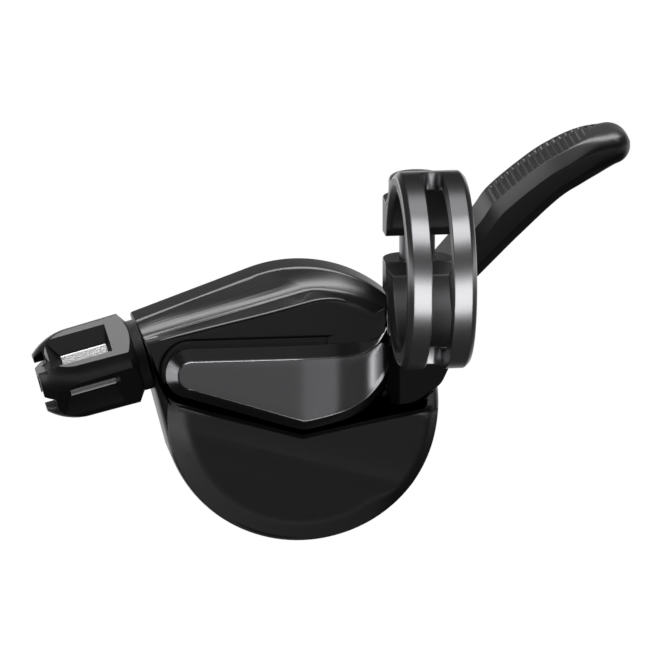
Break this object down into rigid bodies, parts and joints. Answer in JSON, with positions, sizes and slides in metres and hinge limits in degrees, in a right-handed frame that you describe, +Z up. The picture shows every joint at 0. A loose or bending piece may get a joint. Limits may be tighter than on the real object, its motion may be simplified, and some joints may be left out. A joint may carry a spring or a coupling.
{
  "type": "trigger gear shifter",
  "caption": "Handlebar thumb shifter: slotted bar clamp, round drum housing with a wedge arm, curved ribbed lever and a caged barrel adjuster for the cable.",
  "frame": {"origin": "centre of the handlebar clamp's bore", "axes": "+X along the bar towards the grip, +Y from the clamp's open side to the lever, +Z up"},
  "size_m": [0.0845, 0.0425, 0.0556],
  "materials": {
    "housing_plastic": "satin moulded black",
    "lid_plastic": "matt moulded black",
    "clamp_alloy": "satin anodised dark grey",
    "lever_plastic": "satin moulded black",
    "barrel_plastic": "satin moulded black",
    "stem_steel": "bright turned steel",
    "bolt_steel": "dark plated steel",
    "plate_steel": "stamped steel",
    "spring_steel": "spring steel wire",
    "drum_plastic": "moulded dark grey",
    "bush_bronze": "plain bearing bronze",
    "plug_rubber": "soft black"
  },
  "bodies": {
    "housing": {"main_housing": "housing_plastic", "rear_cover": "lid_plastic", "cover_screws": "bolt_steel", "base_plate": "plate_steel", "clamp_bracket": "clamp_alloy", "clamp_bolt": "bolt_steel", "bracket_screws": "bolt_steel", "main_axle": "plate_steel", "axle_washer": "plate_steel", "axle_nut": "bolt_steel", "drum_spacer": "bush_bronze", "holding_pawl_pin": "plate_steel", "holding_pawl_spring": "spring_steel", "drum_return_spring": "spring_steel", "lever_return_spring": "spring_steel", "adjuster_spring": "spring_steel", "cable_port_plug": "plug_rubber"},
    "lever": {"main_lever": "lever_plastic", "lever_bushing": "bush_bronze", "lever_plate": "plate_steel", "drive_pawl_pin": "plate_steel", "drive_pawl_spring": "spring_steel"},
    "drum": {"winding_drum": "drum_plastic", "ratchet_plate": "plate_steel"},
    "holding_pawl": {"holding_pawl": "plate_steel"},
    "drive_pawl": {"drive_pawl": "plate_steel"},
    "adjuster_slide": {"adjuster_stem": "stem_steel"},
    "adjuster_turn": {"adjuster_barrel": "barrel_plastic"}
  },
  "joints": [
    {"name": "lever_swing", "type": "hinge", "parent": "housing", "child": "lever", "pos_m": [-0.0167, 0.0202, -0.022], "axis": [0, 1, 0], "range_deg": [0, 30], "stiffness_Nm_per_rad": 0.4, "springref_deg": -17.19, "deforming": ["lever_return_spring"]},
    {"name": "drum_wind", "type": "hinge", "parent": "housing", "child": "drum", "pos_m": [-0.0167, 0.0202, -0.022], "axis": [0, 1, 0], "range_deg": [0, 30], "deforming": ["drum_return_spring"]},
    {"name": "holding_pawl_lift", "type": "hinge", "parent": "housing", "child": "holding_pawl", "pos_m": [-0.01937, 0.0159, -0.03717], "axis": [0, 1, 0], "range_deg": [-6, 0], "deforming": ["holding_pawl_spring"]},
    {"name": "drive_pawl_lift", "type": "hinge", "parent": "lever", "child": "drive_pawl", "pos_m": [-0.02634, 0.0159, -0.01269], "axis": [0, 1, 0], "range_deg": [-7, 0], "stiffness_Nm_per_rad": 0.01, "springref_deg": 17.19, "deforming": ["drive_pawl_spring"]},
    {"name": "adjuster_travel", "type": "slide", "parent": "housing", "child": "adjuster_slide", "axis": [-0.9681, 0, -0.2504], "range_m": [0, 0.003], "deforming": ["adjuster_spring"]},
    {"name": "adjuster_turn", "type": "hinge", "parent": "adjuster_slide", "child": "adjuster_turn", "pos_m": [-0.03871, 0.0142, -0.01437], "axis": [-0.9681, 0, -0.2504], "range_deg": [0, 1080]}
  ],
  "couplings": [
    {"joint": "drum_wind", "follows": "lever_swing", "ratio": 1},
    {"joint": "holding_pawl_lift", "follows": "lever_swing", "ratio": -0.184},
    {"joint": "adjuster_turn", "follows": "adjuster_travel", "rad_per_m": 6283.2}
  ]
}
